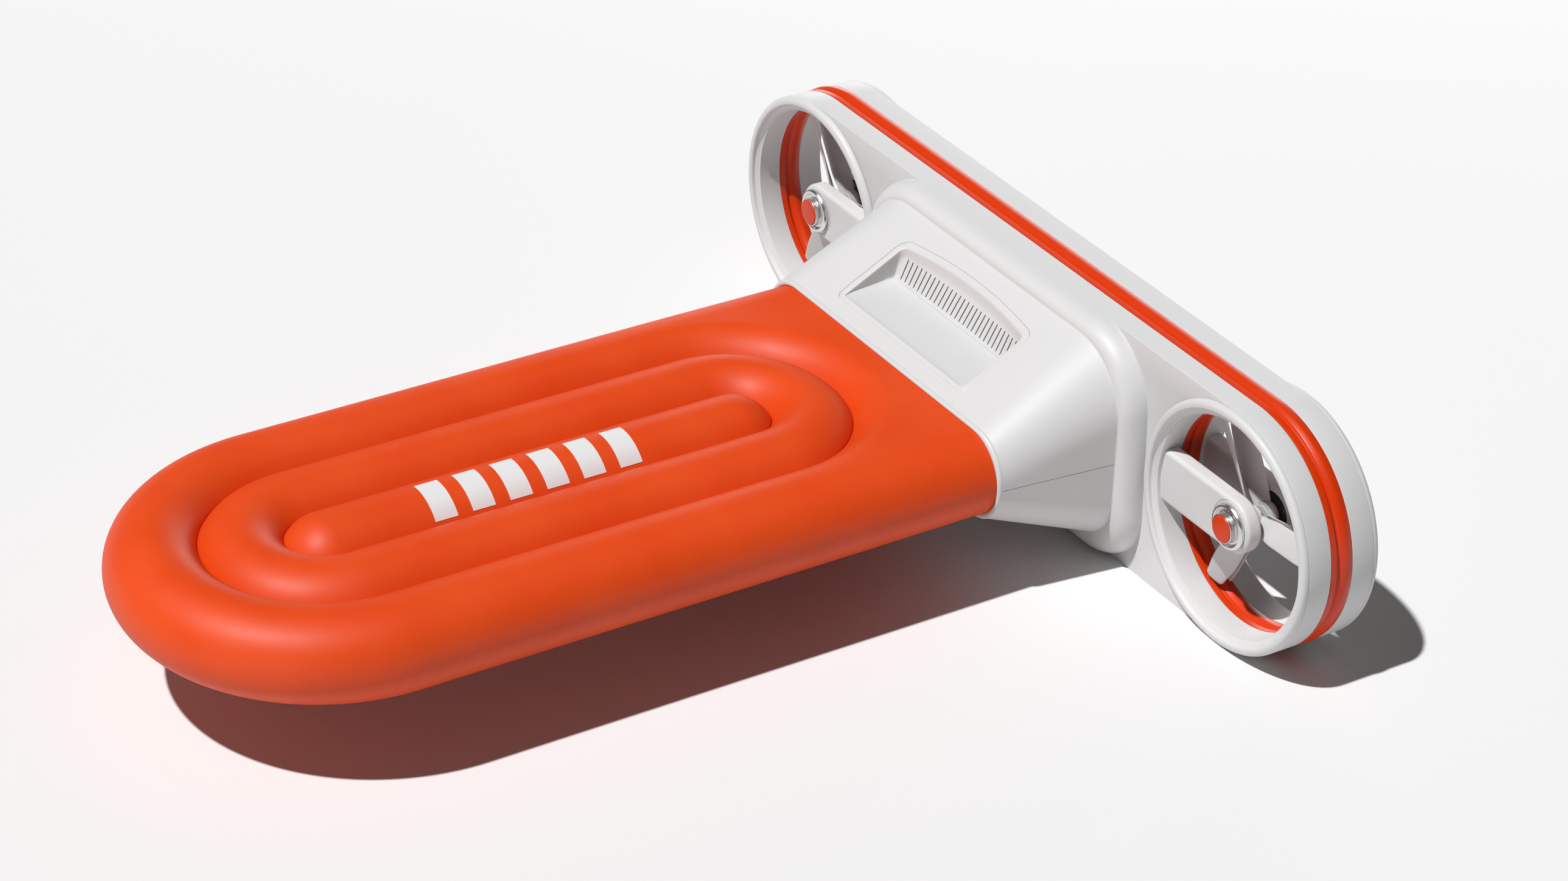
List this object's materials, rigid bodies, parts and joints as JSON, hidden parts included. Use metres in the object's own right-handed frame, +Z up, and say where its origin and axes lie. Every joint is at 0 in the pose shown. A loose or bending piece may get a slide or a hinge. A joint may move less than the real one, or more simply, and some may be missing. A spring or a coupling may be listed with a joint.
{
  "type": "powered rescue float",
  "caption": "Inflatable rescue float of nested ring-shaped air chambers, joined by a vented cowl to a crossbar with a ducted contra-rotating propeller unit at each end.",
  "frame": {"origin": "on the ground, in the crossbar's flat underside, midway between the ducts and between the crossbar's faces", "axes": "+Z up, -Y towards the bow (the way it travels), +X to port, along the crossbar"},
  "size_m": [1.252, 1.3307, 0.32],
  "materials": {
    "float_skin": "satin coated fabric",
    "white_plastic": "fine-grained matte",
    "orange_plastic": "satin",
    "propeller_plastic": "satin",
    "dark_plastic": "matte",
    "black_rubber": "matte",
    "bright_metal": "polished",
    "black_metal": "satin black",
    "steel": "brushed",
    "metal_case": "anodised"
  },
  "bodies": {
    "hull": {"outer_chamber": "float_skin", "middle_chamber": "float_skin", "centre_chamber": "float_skin", "valve_bodies": "dark_plastic", "stern_flange": "dark_plastic", "cowl_upper_shell": "white_plastic", "cowl_lower_shell": "white_plastic", "cowl_front_rim": "white_plastic", "vent_insert": "white_plastic", "bar_front_shell": "white_plastic", "bar_middle_frame": "orange_plastic", "bar_rear_shell": "white_plastic", "shell_screws": "steel", "battery_pack": "metal_case", "control_unit": "metal_case", "speed_controllers": "metal_case", "motor_cables": "black_rubber", "charge_socket": "dark_plastic", "flap_hinge_pin": "steel", "starboard_front_duct_lip": "white_plastic", "starboard_front_motor_arm": "white_plastic", "starboard_front_bearings": "steel", "starboard_front_stator": "steel", "starboard_rear_duct_lip": "white_plastic", "starboard_rear_motor_arm": "white_plastic", "starboard_rear_bearings": "steel", "starboard_rear_stator": "steel", "port_front_duct_lip": "white_plastic", "port_front_motor_arm": "white_plastic", "port_front_bearings": "steel", "port_front_stator": "steel", "port_rear_duct_lip": "white_plastic", "port_rear_motor_arm": "white_plastic", "port_rear_bearings": "steel", "port_rear_stator": "steel"},
    "starboard_front_rotor": {"starboard_front_propeller": "propeller_plastic", "starboard_front_motor_bell": "black_metal", "starboard_front_motor_shaft": "steel", "starboard_front_hub_collar": "bright_metal", "starboard_front_end_cap": "orange_plastic"},
    "starboard_rear_rotor": {"starboard_rear_propeller": "propeller_plastic", "starboard_rear_motor_bell": "black_metal", "starboard_rear_motor_shaft": "steel", "starboard_rear_hub_collar": "bright_metal", "starboard_rear_end_cap": "orange_plastic"},
    "port_front_rotor": {"port_front_propeller": "propeller_plastic", "port_front_motor_bell": "black_metal", "port_front_motor_shaft": "steel", "port_front_hub_collar": "bright_metal", "port_front_end_cap": "orange_plastic"},
    "port_rear_rotor": {"port_rear_propeller": "propeller_plastic", "port_rear_motor_bell": "black_metal", "port_rear_motor_shaft": "steel", "port_rear_hub_collar": "bright_metal", "port_rear_end_cap": "orange_plastic"},
    "outer_valve": {"outer_valve_plunger": "dark_plastic"},
    "middle_valve": {"middle_valve_plunger": "dark_plastic"},
    "centre_valve": {"centre_valve_plunger": "dark_plastic"},
    "button": {"power_button": "orange_plastic"},
    "flap": {"charge_flap": "black_rubber"}
  },
  "joints": [
    {"name": "starboard_front_rotor_spin", "type": "hinge", "parent": "hull", "child": "starboard_front_rotor", "pos_m": [-0.466, -0.0105, 0.16], "axis": [0, 1, 0], "continuous": true},
    {"name": "starboard_rear_rotor_spin", "type": "hinge", "parent": "hull", "child": "starboard_rear_rotor", "pos_m": [-0.466, 0.0105, 0.16], "axis": [0, 1, 0], "continuous": true},
    {"name": "port_front_rotor_spin", "type": "hinge", "parent": "hull", "child": "port_front_rotor", "pos_m": [0.466, -0.0105, 0.16], "axis": [0, 1, 0], "continuous": true},
    {"name": "port_rear_rotor_spin", "type": "hinge", "parent": "hull", "child": "port_rear_rotor", "pos_m": [0.466, 0.0105, 0.16], "axis": [0, 1, 0], "continuous": true},
    {"name": "outer_valve_press", "type": "slide", "parent": "hull", "child": "outer_valve", "axis": [0, 0, 1], "range_m": [0, 0.004], "stiffness_N_per_m": 400, "springref_m": -0.002},
    {"name": "middle_valve_press", "type": "slide", "parent": "hull", "child": "middle_valve", "axis": [0, 0, 1], "range_m": [0, 0.004], "stiffness_N_per_m": 400, "springref_m": -0.002},
    {"name": "centre_valve_press", "type": "slide", "parent": "hull", "child": "centre_valve", "axis": [0, 0, 1], "range_m": [0, 0.004], "stiffness_N_per_m": 400, "springref_m": -0.002},
    {"name": "power_button_press", "type": "slide", "parent": "hull", "child": "button", "axis": [0, -1, 0], "range_m": [0, 0.0015], "stiffness_N_per_m": 800, "springref_m": -0.001},
    {"name": "charge_flap_hinge", "type": "hinge", "parent": "hull", "child": "flap", "pos_m": [0.04, 0.051, 0.177], "axis": [1, 0, 0], "range_deg": [0, 120]}
  ]
}
